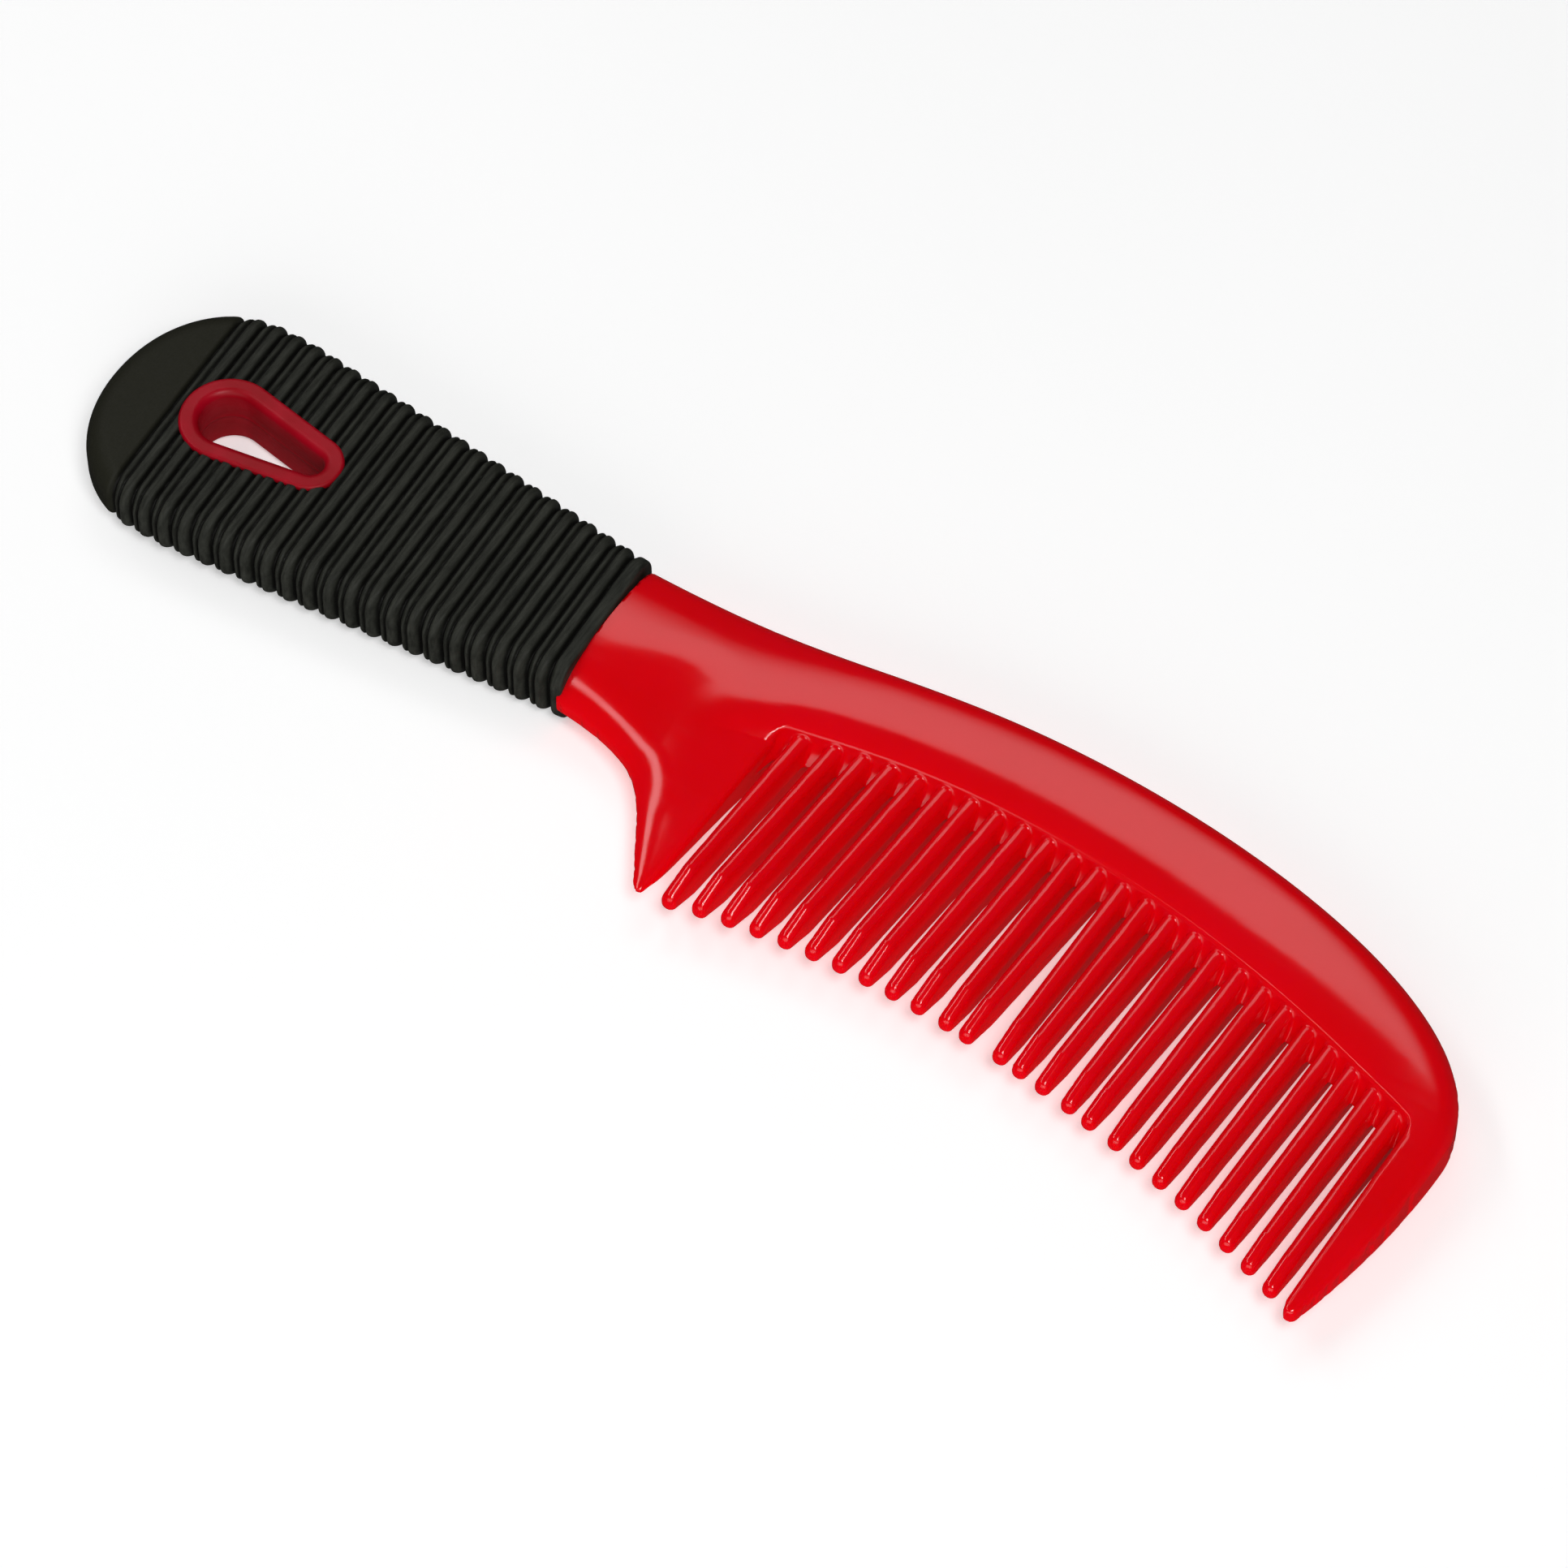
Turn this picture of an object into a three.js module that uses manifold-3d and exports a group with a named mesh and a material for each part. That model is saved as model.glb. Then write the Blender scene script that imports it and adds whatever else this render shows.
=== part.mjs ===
// Mane and tail comb: a moulded plastic comb whose handle is covered by a ribbed rubber grip.
// Millimetres, +Z up. The comb lies flat, handle along X with the butt at -X, teeth towards -Y.
// The shapes are drawn with x along the handle, starting just behind the butt, y from the handle's
// axis and z from the comb's middle plane. The last lines move the whole group so that its origin
// is the centre of its base.

import * as THREE from 'three';
import { mergeVertices } from 'three/addons/utils/BufferGeometryUtils.js';
import Module from 'manifold-3d';

const wasm = await Module();
wasm.setup();

// ---------- driving dimensions ----------
const GAP = 0.3; // between neighbouring solids
const SLAB = 80; // half size of the blocks that cut pieces apart

const BODY_HALF = 5.8; // half thickness of the spine and the neck
const BODY_EDGE = 2.5; // rounding of their edges
const BODY_SEGMENTS = 14; // straight steps in each curve of their outline

const GRIP_END = 86; // where the grip meets the neck
const GRIP_HALF_WIDTH = 19.7; // over the ribs, at the widest
const GRIP_WIDEST_X = 22;
const GRIP_BUTT_X = 17.3; // where the elliptical butt starts
const GRIP_BUTT_LENGTH = 16.8;
const GRIP_NECK_HALF_WIDTH = 12.1;
const GRIP_WAIST_X = 52; // handle of the sides' curve between those two
const GRIP_WAIST_HALF_WIDTH = 16.9;
const GRIP_EDGE = 3.6; // rounding of its long edges
const GRIP_BUTT_THIN = 0.83; // the butt's thickness over the neck end's
const GROOVE_DEPTH = 0.9;
const GROOVE_WIDTH = 1.0;
const GROOVE_PITCH = 3.4;
const GROOVE_COUNT = 22;
const FIRST_GROOVE_X = 12.1;

const CORE_WALL = 2.4; // rubber left round the handle core, from the grooves inwards
const CORE_EDGE = 1.2;

// The eyelet is a teardrop ring: two circles and their common tangents.
const EYELET_WIDE_X = 20.6;
const EYELET_WIDE_R = 7.3;
const EYELET_NARROW_X = 35;
const EYELET_NARROW_R = 4.9;
const EYELET_RIM = 2.95; // wall between the teardrop outside and the hole
const EYELET_HALF = 5.35;
const EYELET_EDGE = 0.5;

const SPINE_NECK_Y = 12.1; // back edge of the comb at the grip, and at its highest point
const SPINE_PEAK_X = 158;
const SPINE_PEAK_Y = 18.5;
const NECK_FRONT_Y = -13.4; // front edge at the grip
const HEEL_TIP_X = 113.5;
const HEEL_TIP_Y = -32.2;
const HEEL_SPLIT_Y = -16.8; // the neck ends and the heel guard starts here
const HEEL_EDGE_X = 100.5; // outer edge at that height
const HEEL_WALL_LEAN = 3.1; // how much further along the guard's inner wall is at the roots
const HEEL_FLANK_X = 106.3; // where the outer edge turns straight towards the tip
const HEEL_FLANK_Y = -22.8;
const TOE_TIP_X = 223.4;
const TOE_TIP_Y = -41.6;
const TOE_WALL_LEAN = 0.5; // from the tip back to the top of the inner wall
const TOE_SPLIT_X = 228.8; // outer edge where the spine ends and the toe guard starts
const TOE_SPLIT_DROP = 1; // that height, below the top of the guard's inner wall
const NECK_SPLIT_STEP = 0.7; // from the top of the heel guard's wall to where the spine starts
const GUARD_TIP_R = 1.25;
const GUARD_ROOT_HALF = 4.6; // half thickness, as for the teeth
const GUARD_TIP_HALF = 1.3;
const GUARD_EDGE = 1;

// Handles of the outer edges' curves, as x and y of the first and then of the second.
const SPINE_RISE = [121, 12.1, 129, SPINE_PEAK_Y]; // from the grip up to the highest point
const SPINE_FALL = [193, SPINE_PEAK_Y, 229.8, 8.2]; // and from there round to the toe
const NECK_FLARE = [97.2, -15.2, 94, -14]; // from the heel guard back to the grip
const TOE_FALL = [228.6, -22, 227.1, -32]; // from the spine down to the toe guard's tip
const HEEL_FLARE = [103.6, -18.8]; // one handle, from the straight flank up to the neck

const ROOT_PEAK_X = 153; // highest point of the line where the teeth leave the spine
const ROOT_PEAK_Y = 2.5;
const ROOT_HEEL_FALL = 0.0038; // the line falls by these times the square of the distance
const ROOT_TOE_FALL = 0.00272;

const TOOTH_COUNT = 25;
const TOOTH_LENGTH = 31.4; // from the root line to the tip
const TOOTH_WIDTH = 2.8;
const TOOTH_ROOT_HALF = 4; // half thickness at the root
const TOOTH_SHOULDER = 25.9; // distance from the root to where the tip's taper starts
const TOOTH_SHOULDER_HALF = [3.2, 2.4]; // half thickness there, for the first tooth and for the last
const TOOTH_TIP_HALF = 1.3;
const TOOTH_BEVEL = 0.75;
const TOOTH_EMBED = 4; // extra length at the root, cut back to the spine's edge
const FIRST_TIP_X = 118;
const LAST_TIP_X = 219.4;
const LEAN_HEEL = 4.1; // degrees that the first tooth's tip leans towards the handle
const LEAN_TOE = 1.6;
const FIRST_TOOTH_SHIFT = -0.6; // the first tooth's root stands closer to the heel guard than the others'
// Sideways bend of single teeth, in millimetres at the tip, by tooth number.
const TIP_SPLAY = { 1: 0.6, 11: 0.4, 12: -0.4, 13: 1.1, 14: 0.25, 16: 0.35, 17: -0.25, 18: 0.25 };

// ---------- materials ----------
const RED_PLASTIC = { color: 0xc4000c, roughness: 0.22, metalness: 0 };
const CRIMSON_PLASTIC = { color: 0x8e0714, roughness: 0.4, metalness: 0 };
const BLACK_RUBBER = { color: 0x2b2c27, roughness: 0.85, metalness: 0 };

// ---------- solids ----------
function solidOf(geometry) {
  const bare = geometry.clone();
  bare.deleteAttribute('normal');
  bare.deleteAttribute('uv');
  const merged = mergeVertices(bare, 1e-4);
  return new wasm.Manifold(new wasm.Mesh({
    numProp: 3,
    vertProperties: merged.attributes.position.array,
    triVerts: new Uint32Array(merged.index.array),
  }));
}

function geometryOf(solid) {
  const mesh = solid.getMesh();
  const geometry = new THREE.BufferGeometry();
  geometry.setAttribute('position', new THREE.BufferAttribute(mesh.vertProperties, 3));
  geometry.setIndex(new THREE.BufferAttribute(mesh.triVerts, 1));
  return geometry.toNonIndexed();
}

// A plan outline made solid: rounded edges, centred on the middle plane, its widest outline on the
// shape itself or `grow` outside it.
function plate(shape, half, edge, { grow = 0, segments = 3, curveSegments = 8 } = {}) {
  const geometry = new THREE.ExtrudeGeometry(shape, {
    depth: 2 * (half - edge),
    bevelThickness: edge,
    bevelSize: edge,
    bevelOffset: grow - edge,
    bevelSegments: segments,
    curveSegments,
  });
  geometry.translate(0, 0, edge - half);
  return geometry;
}

function block(xLow, xHigh, yLow = -SLAB, yHigh = SLAB) {
  const geometry = new THREE.BoxGeometry(xHigh - xLow, yHigh - yLow, 2 * SLAB);
  geometry.translate((xLow + xHigh) / 2, (yLow + yHigh) / 2, 0);
  return solidOf(geometry);
}

// Scales a geometry's thickness by scaleAt(x, y), which is linear, so that flat faces stay flat.
function thin(geometry, scaleAt) {
  const position = geometry.attributes.position;
  for (let i = 0; i < position.count; i += 1) {
    position.setZ(i, position.getZ(i) * scaleAt(position.getX(i), position.getY(i)));
  }
  return geometry;
}

function piece(name, geometry, finish) {
  geometry.computeVertexNormals();
  const mesh = new THREE.Mesh(geometry, new THREE.MeshStandardMaterial(finish));
  mesh.name = name;
  return mesh;
}

// ---------- outlines ----------
function rootLine(x) {
  const fall = x > ROOT_PEAK_X ? ROOT_TOE_FALL : ROOT_HEEL_FALL;
  return ROOT_PEAK_Y - fall * (x - ROOT_PEAK_X) ** 2;
}

// Where the guards' inner walls reach the root line, and where the head is cut into its solids.
const HEEL_WALL_TOP_X = HEEL_TIP_X + HEEL_WALL_LEAN;
const TOE_WALL_TOP_X = TOE_TIP_X - TOE_WALL_LEAN;
const TOE_SPLIT_Y = rootLine(TOE_WALL_TOP_X) - TOE_SPLIT_DROP;
const NECK_SPLIT_X = HEEL_WALL_TOP_X + NECK_SPLIT_STEP;

// x of the heel guard's inner wall at a height y.
function heelWallX(y) {
  const tipX = HEEL_TIP_X + GUARD_TIP_R;
  const rise = (y - HEEL_TIP_Y) / (rootLine(HEEL_WALL_TOP_X) - HEEL_TIP_Y);
  return tipX + (HEEL_WALL_TOP_X - tipX) * rise;
}

// Spine and neck in one outline. It runs on into both guards, where the pieces are cut apart.
function bodyOutline() {
  const heelEndY = HEEL_SPLIT_Y - BODY_EDGE - 1;
  const toeEndY = TOE_SPLIT_Y - BODY_EDGE - 1;
  const shape = new THREE.Shape();
  shape.moveTo(GRIP_END - BODY_EDGE - 1, SPINE_NECK_Y);
  shape.lineTo(GRIP_END, SPINE_NECK_Y);
  shape.bezierCurveTo(...SPINE_RISE, SPINE_PEAK_X, SPINE_PEAK_Y);
  shape.bezierCurveTo(...SPINE_FALL, TOE_SPLIT_X, TOE_SPLIT_Y);
  shape.lineTo(TOE_SPLIT_X, toeEndY);
  shape.lineTo(TOE_WALL_TOP_X, toeEndY);
  shape.lineTo(TOE_WALL_TOP_X, rootLine(TOE_WALL_TOP_X));
  shape.quadraticCurveTo((TOE_WALL_TOP_X + ROOT_PEAK_X) / 2, ROOT_PEAK_Y, ROOT_PEAK_X, ROOT_PEAK_Y);
  shape.quadraticCurveTo((HEEL_WALL_TOP_X + ROOT_PEAK_X) / 2, ROOT_PEAK_Y, HEEL_WALL_TOP_X,
    rootLine(HEEL_WALL_TOP_X));
  shape.lineTo(heelWallX(heelEndY), heelEndY);
  shape.lineTo(HEEL_EDGE_X, heelEndY);
  shape.lineTo(HEEL_EDGE_X, HEEL_SPLIT_Y);
  shape.bezierCurveTo(...NECK_FLARE, GRIP_END, NECK_FRONT_Y);
  shape.lineTo(GRIP_END - BODY_EDGE - 1, NECK_FRONT_Y);
  shape.closePath();
  return shape;
}

// The pointed end beside the neck: concave outside, straight towards the teeth.
function heelGuardOutline() {
  const topY = HEEL_SPLIT_Y + GUARD_EDGE + 1;
  const shape = new THREE.Shape();
  shape.moveTo(HEEL_EDGE_X, topY);
  shape.lineTo(heelWallX(topY), topY);
  shape.lineTo(HEEL_TIP_X + GUARD_TIP_R, HEEL_TIP_Y);
  shape.absarc(HEEL_TIP_X, HEEL_TIP_Y, GUARD_TIP_R, 0, -0.8 * Math.PI, true);
  shape.lineTo(HEEL_FLANK_X, HEEL_FLANK_Y);
  shape.quadraticCurveTo(...HEEL_FLARE, HEEL_EDGE_X, HEEL_SPLIT_Y);
  shape.closePath();
  return shape;
}

// The curved end at the toe: convex outside, straight towards the teeth.
function toeGuardOutline() {
  const topY = TOE_SPLIT_Y + GUARD_EDGE + 1;
  const shape = new THREE.Shape();
  shape.moveTo(TOE_WALL_TOP_X, topY);
  shape.lineTo(TOE_SPLIT_X, topY);
  shape.lineTo(TOE_SPLIT_X, TOE_SPLIT_Y);
  shape.bezierCurveTo(...TOE_FALL, TOE_TIP_X + GUARD_TIP_R, TOE_TIP_Y);
  shape.absarc(TOE_TIP_X, TOE_TIP_Y, GUARD_TIP_R, 0, -Math.PI, true);
  shape.closePath();
  return shape;
}

// The grip's outline over its ribs, drawn `inset` inside: elliptical butt, sides tapering to the neck.
function gripOutline(inset, endX) {
  const widest = GRIP_HALF_WIDTH - inset;
  const waist = GRIP_WAIST_HALF_WIDTH - inset;
  const neck = GRIP_NECK_HALF_WIDTH - inset;
  const shape = new THREE.Shape();
  shape.moveTo(endX, neck);
  shape.quadraticCurveTo(GRIP_WAIST_X, waist, GRIP_WIDEST_X, widest);
  shape.lineTo(GRIP_BUTT_X, widest);
  shape.absellipse(GRIP_BUTT_X, 0, GRIP_BUTT_LENGTH - inset, widest, Math.PI / 2, 1.5 * Math.PI);
  shape.lineTo(GRIP_WIDEST_X, -widest);
  shape.quadraticCurveTo(GRIP_WAIST_X, -waist, endX, -neck);
  shape.closePath();
  return shape;
}

// Two circles joined by their common tangents, grown by `grow`.
function teardrop(grow) {
  const wide = EYELET_WIDE_R + grow;
  const narrow = EYELET_NARROW_R + grow;
  const tangent = Math.acos((wide - narrow) / (EYELET_NARROW_X - EYELET_WIDE_X));
  const shape = new THREE.Shape();
  shape.absarc(EYELET_WIDE_X, 0, wide, tangent, 2 * Math.PI - tangent);
  shape.absarc(EYELET_NARROW_X, 0, narrow, -tangent, tangent);
  shape.closePath();
  return shape;
}

function prism(shape) {
  const geometry = new THREE.ExtrudeGeometry(shape, { depth: 2 * SLAB, bevelEnabled: false });
  geometry.translate(0, 0, -SLAB);
  return solidOf(geometry);
}

// ---------- grip, core and eyelet ----------
const gripThickness = (x) => GRIP_BUTT_THIN + (1 - GRIP_BUTT_THIN) * x / GRIP_END;
const GRIP_LONG = GRIP_END + 6; // drawn longer than the grip, then cut square at its end

function gripBlank(inset, half, edge) {
  return solidOf(plate(gripOutline(inset, GRIP_LONG), half, edge, { curveSegments: 7 }));
}

function coreSolid(grow) {
  const inset = GROOVE_DEPTH + CORE_WALL - grow;
  return gripBlank(inset, BODY_HALF - inset, CORE_EDGE + grow);
}

function rubberGrip() {
  const grooveFloor = gripBlank(GROOVE_DEPTH, BODY_HALF - GROOVE_DEPTH, GRIP_EDGE);
  let grooves = block(FIRST_GROOVE_X, FIRST_GROOVE_X + GROOVE_WIDTH);
  for (let i = 1; i < GROOVE_COUNT; i += 1) {
    const x = FIRST_GROOVE_X + i * GROOVE_PITCH;
    grooves = grooves.add(block(x, x + GROOVE_WIDTH));
  }
  const sleeve = gripBlank(0, BODY_HALF, GRIP_EDGE)
    .subtract(grooves.subtract(grooveFloor))
    .subtract(coreSolid(GAP))
    .subtract(prism(teardrop(GAP)))
    .intersect(block(-SLAB, GRIP_END));
  return piece('rubber_grip', thin(geometryOf(sleeve), gripThickness), BLACK_RUBBER);
}

function handleCore() {
  const bar = coreSolid(0)
    .subtract(prism(teardrop(GAP)))
    .intersect(block(-SLAB, GRIP_END));
  return piece('handle_core', thin(geometryOf(bar), gripThickness), RED_PLASTIC);
}

function hangHoleEyelet() {
  const shape = teardrop(0);
  shape.holes.push(teardrop(-EYELET_RIM));
  const ring = plate(shape, EYELET_HALF, EYELET_EDGE, { segments: 1, curveSegments: 12 });
  return piece('hang_hole_eyelet', ring, CRIMSON_PLASTIC);
}

// ---------- head ----------
function guard(name, outline, splitY, tipY) {
  const solid = solidOf(plate(outline, GUARD_ROOT_HALF, GUARD_EDGE, { segments: 2 }))
    .intersect(block(0, 2 * TOE_SPLIT_X, -SLAB, splitY - GAP));
  const tipScale = GUARD_TIP_HALF / GUARD_ROOT_HALF;
  const scaleAt = (x, y) => tipScale + (1 - tipScale) * (y - tipY) / (splitY - tipY);
  return piece(name, thin(geometryOf(solid), scaleAt), RED_PLASTIC);
}

function headPieces() {
  const options = { curveSegments: BODY_SEGMENTS };
  const body = solidOf(plate(bodyOutline(), BODY_HALF, BODY_EDGE, options));
  const neck = body.intersect(block(GRIP_END + GAP, NECK_SPLIT_X, HEEL_SPLIT_Y));
  const spine = body.intersect(block(NECK_SPLIT_X + GAP, 2 * TOE_SPLIT_X, TOE_SPLIT_Y));
  return [
    piece('neck', geometryOf(neck), RED_PLASTIC),
    piece('spine', geometryOf(spine), RED_PLASTIC),
    guard('heel_guard', heelGuardOutline(), HEEL_SPLIT_Y, HEEL_TIP_Y - GUARD_TIP_R),
    guard('toe_guard', toeGuardOutline(), TOE_SPLIT_Y, TOE_TIP_Y - GUARD_TIP_R),
  ];
}

// ---------- teeth ----------
// Side view of a tooth: deep at the root, slimmer to the shoulder, then tapering to a round tip.
function toothProfile(shoulderHalf) {
  const tipCentre = TOOTH_LENGTH - TOOTH_TIP_HALF;
  const shape = new THREE.Shape();
  shape.moveTo(-TOOTH_EMBED, -TOOTH_ROOT_HALF);
  shape.lineTo(0, -TOOTH_ROOT_HALF);
  shape.lineTo(TOOTH_SHOULDER, -shoulderHalf);
  shape.absarc(tipCentre, 0, TOOTH_TIP_HALF, -Math.PI / 2, Math.PI / 2);
  shape.lineTo(TOOTH_SHOULDER, shoulderHalf);
  shape.lineTo(0, TOOTH_ROOT_HALF);
  shape.lineTo(-TOOTH_EMBED, TOOTH_ROOT_HALF);
  shape.closePath();
  return shape;
}

// A tooth with its root at the origin, pointing towards -Y.
function toothBlank(shoulderHalf) {
  const blank = new THREE.ExtrudeGeometry(toothProfile(shoulderHalf), {
    depth: TOOTH_WIDTH - 2 * TOOTH_BEVEL,
    bevelThickness: TOOTH_BEVEL,
    bevelSize: TOOTH_BEVEL,
    bevelOffset: -TOOTH_BEVEL,
    bevelSegments: 2,
    curveSegments: 4,
  });
  blank.translate(0, 0, TOOTH_BEVEL - TOOTH_WIDTH / 2);
  blank.applyMatrix4(new THREE.Matrix4().makeBasis(
    new THREE.Vector3(0, -1, 0), new THREE.Vector3(0, 0, 1), new THREE.Vector3(-1, 0, 0)));
  return blank;
}

function teeth() {
  const options = { grow: GAP, curveSegments: BODY_SEGMENTS };
  const spine = solidOf(plate(bodyOutline(), BODY_HALF + GAP, BODY_EDGE, options));
  const made = [];
  for (let i = 1; i <= TOOTH_COUNT; i += 1) {
    const along = (i - 1) / (TOOTH_COUNT - 1);
    const lean = THREE.MathUtils.degToRad(THREE.MathUtils.lerp(LEAN_HEEL, LEAN_TOE, along));
    const bend = (TIP_SPLAY[i] ?? 0) / TOOTH_LENGTH;
    const shift = TOOTH_LENGTH * Math.sin(lean) + (i === 1 ? FIRST_TOOTH_SHIFT : 0);
    const rootX = THREE.MathUtils.lerp(FIRST_TIP_X, LAST_TIP_X, along) + shift;
    const blank = toothBlank(THREE.MathUtils.lerp(...TOOTH_SHOULDER_HALF, along));
    const shaped = blank.rotateZ(bend - lean).translate(rootX, rootLine(rootX), 0);
    const name = `tooth_${String(i).padStart(2, '0')}`;
    made.push(piece(name, geometryOf(solidOf(shaped).subtract(spine)), RED_PLASTIC));
  }
  return made;
}

// ---------- assembly ----------
const comb = new THREE.Group();
comb.add(rubberGrip(), handleCore(), hangHoleEyelet(), ...headPieces(), ...teeth());
const box = new THREE.Box3().setFromObject(comb);
comb.position.set(-(box.min.x + box.max.x) / 2, -(box.min.y + box.max.y) / 2, -box.min.z);
export default comb;
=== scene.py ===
"""Looks of the mane and tail comb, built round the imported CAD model.

The shape functions work in millimetres in the drawing frame: x along the handle, starting just behind
the butt, y from the handle's axis and z from the comb's middle plane. Every shape is a signed distance,
negative inside, and surface() turns one into a closed mesh in the row frame, in metres.
"""

import math

import bpy
import numpy as np
from mathutils import Matrix, Vector


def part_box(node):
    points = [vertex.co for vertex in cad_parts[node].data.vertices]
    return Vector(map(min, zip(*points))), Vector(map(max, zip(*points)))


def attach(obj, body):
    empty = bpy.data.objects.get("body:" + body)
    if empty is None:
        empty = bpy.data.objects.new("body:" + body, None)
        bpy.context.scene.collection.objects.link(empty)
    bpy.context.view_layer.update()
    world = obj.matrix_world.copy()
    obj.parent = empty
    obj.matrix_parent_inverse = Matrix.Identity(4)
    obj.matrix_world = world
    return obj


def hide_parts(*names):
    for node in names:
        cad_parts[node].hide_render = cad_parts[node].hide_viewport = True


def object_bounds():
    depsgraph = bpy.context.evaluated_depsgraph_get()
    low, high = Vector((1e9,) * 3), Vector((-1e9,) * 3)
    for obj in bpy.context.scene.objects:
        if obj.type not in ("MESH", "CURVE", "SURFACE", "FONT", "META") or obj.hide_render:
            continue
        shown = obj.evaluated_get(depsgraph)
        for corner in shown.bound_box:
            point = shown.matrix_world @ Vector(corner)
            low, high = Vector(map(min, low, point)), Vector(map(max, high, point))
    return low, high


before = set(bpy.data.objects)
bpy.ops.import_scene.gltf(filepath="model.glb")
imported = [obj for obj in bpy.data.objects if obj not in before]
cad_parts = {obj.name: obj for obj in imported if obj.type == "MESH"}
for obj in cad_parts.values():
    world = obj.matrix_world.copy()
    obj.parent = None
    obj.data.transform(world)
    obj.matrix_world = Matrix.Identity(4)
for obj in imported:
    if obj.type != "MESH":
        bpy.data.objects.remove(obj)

MM = 0.001
CAD_LOW, CAD_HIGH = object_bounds()

# ---------- the drawing frame, found from the CAD model ----------
BUTT_X = 0.5
grip_low, grip_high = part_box("rubber_grip")
ORIGIN = np.array([
    grip_low.x / MM - BUTT_X,
    (grip_low.y + grip_high.y) / 2 / MM,
    (CAD_LOW.z + CAD_HIGH.z) / 2 / MM,
])


def drawing_box(node):
    """A CAD node's lowest and highest corners in the drawing frame."""
    low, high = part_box(node)
    return np.array(low) / MM - ORIGIN, np.array(high) / MM - ORIGIN


def row_point(x, y, z):
    """A drawing-frame point in the row frame, in metres."""
    return Vector((np.array([x, y, z]) + ORIGIN) * MM)


BODY_HALF = (CAD_HIGH.z - CAD_LOW.z) / 2 / MM
GRIP_END = drawing_box("rubber_grip")[1][0]
TEETH = [f"tooth_{i:02d}" for i in range(1, 26)]

# ---------- head sizes ----------
# The outer edge: points and the handles of the curves between them, from the neck's back round the toe.
NECK_BACK_Y = 12.1
SPINE_PEAK = (158, 18.5)
SPINE_RISE = ((121, NECK_BACK_Y), (129, SPINE_PEAK[1]))
SPINE_FALL = ((193, SPINE_PEAK[1]), (229.8, 8.2))
TOE_SPLIT = (228.8, -11.8)
TOE_FALL = ((228.6, -22), (227.1, -32))
TOE_TIP = (223.4, -41.6)
HEEL_TIP = (113.5, -32.2)
HEEL_TIP_END = -144  # angle at which the round of the heel's tip meets its flank
HEEL_FLANK = (106.3, -22.8)
HEEL_FLARE = (103.6, -18.8)
HEEL_EDGE = (100.5, -16.8)
NECK_FRONT_Y = -13.4
NECK_FLARE = ((97.2, -15.2), (94, NECK_FRONT_Y - 0.6))
GUARD_TIP_R = 1.25
NECK_START_X = GRIP_END + 0.02
NECK_OVERRUN = 8  # the outline runs on this far inside the grip, where the head is cut off

# The teeth's space: the root line at its top, and the guards' walls at its ends.
ROOT_PEAK = (153, 3.5)
ROOT_HEEL_FALL = 0.0038
ROOT_TOE_FALL = 0.00272
HEEL_WALL_TOP_X = 116.6
TOE_WALL_TOP = (222.9, -10.8)
RAMP_LENGTH = 4.2  # each slot between teeth ends in a hollow ramp below the root line
RAMP_HALF = 4.4
RAMP_SHAPE = (0.15, 0.85)  # the ramp's height is this much of a straight line and this much of a cube
RAMP_SLOPE = 2.7  # and this is how steep that makes it on the root line
RAMP_EDGE_ROUND = 0.4  # round of the thin edge where the ramps of both faces meet
SLOT_CORNER = 1.2
SLOT_ROUND = (0.3, 1.1)  # radius of the slots' upper edges on the ramps and on the walls
SLOT_ROUND_BLEND = (0.3, 3)  # distances from the ramp between which the one turns into the other

# The crown: away from its crest the top falls by a rate times a power of the distance from the crest.
NECK_CROWN = 0.016  # rate of the neck's fall, which goes by the square
NECK_CROWN_REACH = 12  # how far in from the back edge it starts
SPINE_CROWN = 0.0021  # rate of the spine's, which goes by the cube and so is flatter on top
SPINE_CROWN_REACH = 9
SPINE_CROWN_START = (100, 128)  # x between which the neck's crown turns into the spine's
FRONT_CROWN_REACH = (16, 22)  # how far in from the front edge it starts at the grip and at the heel
FRONT_CROWN_BLEND = (88, 106)  # x between which the one turns into the other
FRONT_CROWN_BEND = 5.6  # the front's fall goes on as a straight slope after this distance
FLANK_REACH = 6.3  # on the teeth's side the crown falls to the roots over this distance
FLANK_DROP = 1.4
FLANK_POWER = 2.1
FLANK_LIMIT = 1.4  # the fall stops growing this many reaches from its start
FLANK_START = (104, 122)  # x between which the flank comes in at the heel
FLANK_STOP = (212, 226)  # and goes out at the toe
TOP_BLEND = 1.5  # width of the soft joint between the crown and the guards' slopes

# The guards thin towards their tips: y where that starts, and the power of the fall.
HEEL_SLOPE = (-4, 1.5)
TOE_SLOPE = (4, 1.3)
SLOPE_LIMIT = 1.3  # how far the fall goes on past the tip, which is at 1
SLOPE_BLEND = (130, 200)  # x between which the heel's slope turns into the toe's
GUARD_TIP_HALF = 1.3

# Edges: a radius, and how much of the half thickness it takes up at most. A stretch below 1 makes the
# round reach further in from the edge.
EDGE_ROUND = 2.4
EDGE_ROUND_PART = 0.55
FRONT_ROUND = 4.2  # for the neck's front and the heel's flank
FRONT_ROUND_PART = 0.95
LEAST_ROUND = 0.6
FRONT_SIDE_Y = (3, -8)  # y between which the edge becomes the front's, and x between which that ends
FRONT_SIDE_STOP = (116, 128)
NECK_STRETCH = 0.66
HEEL_STRETCH = 0.27
HEEL_STRETCH_Y = (-9, -22)  # y between which the neck's stretch turns into the heel's

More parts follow.
